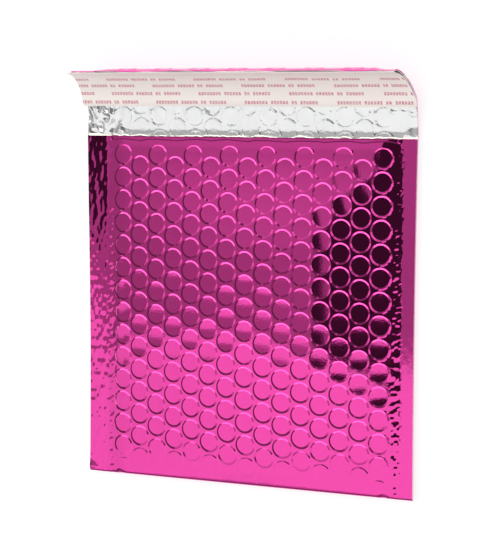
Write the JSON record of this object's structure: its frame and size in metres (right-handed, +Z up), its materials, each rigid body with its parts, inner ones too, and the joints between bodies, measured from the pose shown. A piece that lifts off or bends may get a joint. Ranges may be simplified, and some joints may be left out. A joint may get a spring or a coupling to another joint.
{
  "type": "padded mailing envelope",
  "caption": "Square padded envelope of pink metallised film over a bubble lining, its flap open and curled up, with an adhesive strip under a peel-off liner.",
  "frame": {"origin": "on the surface the envelope lies on, under the middle of its whole outline", "axes": "+X across the envelope to its right, +Y from the bottom fold to the flap, +Z up, out of its front"},
  "size_m": [0.1824, 0.214, 0.022],
  "materials": {
    "pink_film": "metallised pink film, glossy, embossed by the bubbles behind it",
    "silver_lining": "silvery translucent bubble film, satin gloss",
    "adhesive": "clear pressure-sensitive adhesive, glossy",
    "liner_film": "pale release film with rows of small plain red-pink dashes"
  },
  "bodies": {
    "root": {"outer_film": "pink_film", "bubble_lining": "silver_lining", "adhesive_strip": "adhesive", "release_liner": "liner_film"}
  },
  "joints": []
}
